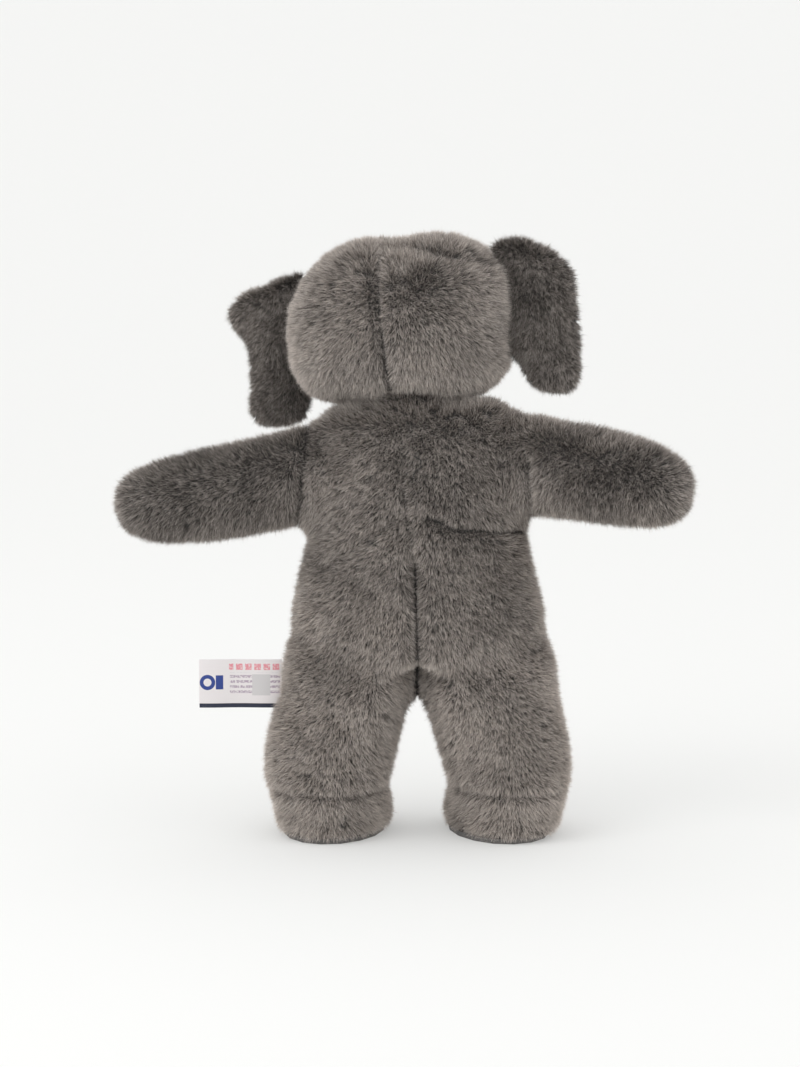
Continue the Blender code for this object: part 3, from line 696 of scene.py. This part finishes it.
# %% Buttons for the eyes and the nose
def button(name, node, size, out, narrow=0.0):
    low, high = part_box(node)
    centre, out = (low + high) / 2, Vector(out).normalized()
    bpy.ops.object.select_all(action="DESELECT")
    bpy.ops.mesh.primitive_uv_sphere_add(segments=40, ring_count=24, radius=1, location=(0, 0, 0))
    item = bpy.context.active_object
    item.name = item.data.name = name
    for polygon in item.data.polygons:
        polygon.select = polygon.center.z < -0.95
    bpy.ops.object.mode_set(mode="EDIT")
    bpy.ops.mesh.select_mode(type="FACE")
    bpy.ops.object.mode_set(mode="OBJECT")
    for polygon in item.data.polygons:
        polygon.select = polygon.center.z < -0.95
    bpy.ops.object.mode_set(mode="EDIT")
    bpy.ops.mesh.extrude_region_move(TRANSFORM_OT_translate={"value": (0, 0, -1.2)})
    bpy.ops.object.mode_set(mode="OBJECT")
    co = points_of(item)
    co[:, 0] *= 1 - narrow * np.clip(-co[:, 1], 0, 1)
    co[:, 1] += narrow * 0.35 * (1 - co[:, 0] ** 2) * (co[:, 2] > -0.9)
    set_points(item, co)
    item.scale = size
    item.rotation_euler = out.to_track_quat("Z", "Y").to_euler()
    item.location = centre
    bpy.ops.object.transform_apply(location=True, rotation=True, scale=True)
    bpy.ops.object.shade_smooth()
    paint(item, plastic)
    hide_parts(node)
    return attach(item, "head")


head_low, head_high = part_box("head_stuffing")
skull = Vector(((head_low.x + head_high.x) / 2, MIDDLE.y - 0.014, 0.248))
for side in SIDES:
    low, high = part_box(f"eye_{side}")
    button(f"{side}_eye", f"eye_{side}", (0.0056, 0.0056, 0.0036), (low + high) / 2 - skull)
forward = Vector((joints["ear_right_flap"]["axis"])) * -1
button("nose_button", "nose", (0.0088, 0.0062, 0.0048), forward + Vector((0, 0, 0.35)), narrow=0.35)

# %% [markdown]
# The label is a white tape with a navy tape behind it. Its print is generic: a disc and a square,
# a row of care squares, and lines of dashes that spell nothing.

# %% The printed tape and the navy tape
care = Finish("white_tape", Roughness=0.5)
uv = care.node("SeparateXYZ", Vector=care.value(care.node("UVMap", {"uv_map": "UVMap"})))
u, v = care.value(uv, 0), care.value(uv, 1)


def patch(left, right, low, high):
    return (u > left) * (u < right) * (v > low) * (v < high)


weave = care.value(care.node("TexWave", {"bands_direction": "Z"}, Vector=care.value(care.node("TexCoord"), 3), Scale=900.0))
print_noise = care.value(care.node("TexNoise", {"noise_dimensions": "2D"}, Vector=care.value(care.node("UVMap", {"uv_map": "UVMap"})), Scale=42.0, Detail=1.0))
paper = care.ramp(weave, (0.0, (0.74, 0.70, 0.70, 1)), (1.0, (0.84, 0.80, 0.80, 1)))
rows = ((v * 8.6).math("FRACT") < 0.5) * (print_noise > 0.46) * patch(0.37, 0.98, 0.20, 0.70)
ink = care.mix(rows * 0.75, paper, (0.30, 0.20, 0.30, 1))
squares = ((u * 9.0).math("FRACT") < 0.72) * patch(0.36, 0.97, 0.76, 0.90) * (print_noise > 0.40)
ink = care.mix(squares, ink, (0.75, 0.28, 0.32, 1))
ink = care.mix(patch(0.64, 0.86, 0.18, 0.66), ink, (0.62, 0.60, 0.60, 1))
ring = ((u - 0.10) * 1.86).math("POWER", 2.0) + (v - 0.48).math("POWER", 2.0)
ink = care.mix((ring < 0.030) * (ring > 0.008), ink, (0.02, 0.05, 0.25, 1))
ink = care.mix(patch(0.20, 0.29, 0.32, 0.64), ink, (0.02, 0.05, 0.25, 1))
care.feed("Base Color", ink)
care.bump(weave, 0.3, 0.0002)

navy = Finish("navy_tape", Roughness=0.45)
place = navy.value(navy.node("TexCoord"), 3)
satin = navy.value(navy.node("TexWave", {"bands_direction": "X"}, Vector=place, Scale=900.0))
navy.feed("Base Color", navy.ramp(satin, (0.0, (0.010, 0.014, 0.035, 1)), (1.0, (0.022, 0.030, 0.065, 1))))
navy.bump(satin, 0.4, 0.0002)


def tape(name, node, finish):
    """A flat grid at the tape's place, facing back, with a slight wave, and then its thickness."""
    low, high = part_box(node)
    wide, tall = high.x - low.x, high.z - low.z
    bpy.ops.object.select_all(action="DESELECT")
    bpy.ops.mesh.primitive_grid_add(x_subdivisions=32, y_subdivisions=18, size=1,
                                    location=(low + high) / 2, rotation=(math.pi / 2, 0, math.pi))
    item = bpy.context.active_object
    item.name = item.data.name = name
    item.scale = (wide, tall, 1)
    bpy.ops.object.transform_apply(location=True, rotation=True, scale=True)
    co = points_of(item)
    reach = (co[:, 0] - low.x) / wide
    co[:, 1] += 0.0010 * reach ** 2 * np.sin((co[:, 2] - low.z) / tall * 2.4 + 0.4) + 0.0004 * np.sin(reach * 9)
    set_points(item, co)
    modify(item, "SOLIDIFY", thickness=0.00035, offset=0)
    paint(item, finish)
    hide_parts(node)
    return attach(item, "leg_left")


tape("label_white", "label_care_side", care)
tape("label_navy", "label_dark_side", navy)

# %% [markdown]
# ## Floor, light and camera

# %% A pale floor that sweeps up into a backdrop
bpy.ops.object.select_all(action="DESELECT")
bpy.ops.mesh.primitive_plane_add(size=8, location=(0, 0, 0))
floor = bpy.context.active_object
floor.name = "floor"
bpy.ops.object.transform_apply(location=True, rotation=True, scale=True)
bpy.ops.object.mode_set(mode="EDIT")
bpy.ops.mesh.select_mode(type="EDGE")
bpy.ops.mesh.select_all(action="DESELECT")
bpy.ops.object.mode_set(mode="OBJECT")
for edge in floor.data.edges:
    edge.select = all(floor.data.vertices[i].co.y < -3 for i in edge.vertices)
bpy.ops.object.mode_set(mode="EDIT")
bpy.ops.mesh.extrude_region_move(TRANSFORM_OT_translate={"value": (0, 0, 4)})
bpy.ops.object.mode_set(mode="OBJECT")
for edge in floor.data.edges:
    edge.select = all(abs(floor.data.vertices[i].co.y + 4) < 1e-4 and abs(floor.data.vertices[i].co.z) < 1e-4 for i in edge.vertices)
bpy.ops.object.mode_set(mode="EDIT")
bpy.ops.mesh.bevel(offset=2.5, segments=24, affect="EDGES")
bpy.ops.object.mode_set(mode="OBJECT")
bpy.ops.object.shade_smooth()
ground = Finish("floor", Roughness=0.9, Base_Color=(0.60, 0.60, 0.59, 1),
                Emission_Color=(1, 1, 0.985, 1), Emission_Strength=0.29)
floor.data.materials.append(ground.material)

world = bpy.data.worlds.new("studio")
bpy.context.scene.world = world
world.use_nodes = True
world.node_tree.nodes["Background"].inputs["Color"].default_value = (0.95, 0.955, 0.96, 1)
world.node_tree.nodes["Background"].inputs["Strength"].default_value = 1.08


# %% Light and camera
def soft_light(name, place, target, size, power):
    bpy.ops.object.light_add(type="AREA", location=place)
    lamp = bpy.context.active_object
    lamp.name = name
    lamp.data.size = size
    lamp.data.energy = power
    lamp.rotation_euler = (Vector(target) - Vector(place)).to_track_quat("-Z", "Y").to_euler()
    return lamp


soft_light("key_light", (0.9, 0.9, 1.3), (0, 0, 0.12), 0.9, 5.5)

target = MIDDLE + Vector((0.0082, 0, 0.1475))
away, rise = 1.6, math.radians(6.5)
bpy.ops.object.camera_add(location=target + Vector((0, math.cos(rise), math.sin(rise))) * away)
camera = bpy.context.active_object
camera.rotation_euler = (target - camera.location).to_track_quat("-Z", "Y").to_euler()
camera.data.sensor_fit = "HORIZONTAL"
camera.data.sensor_width = 36
camera.data.lens = 36 * away / 0.3858
camera.data.clip_start = 0.05
camera.data.dof.use_dof = False
bpy.context.scene.camera = camera
bpy.context.scene.view_settings.view_transform = "Standard"

# %% Finish
bpy.context.view_layer.update()
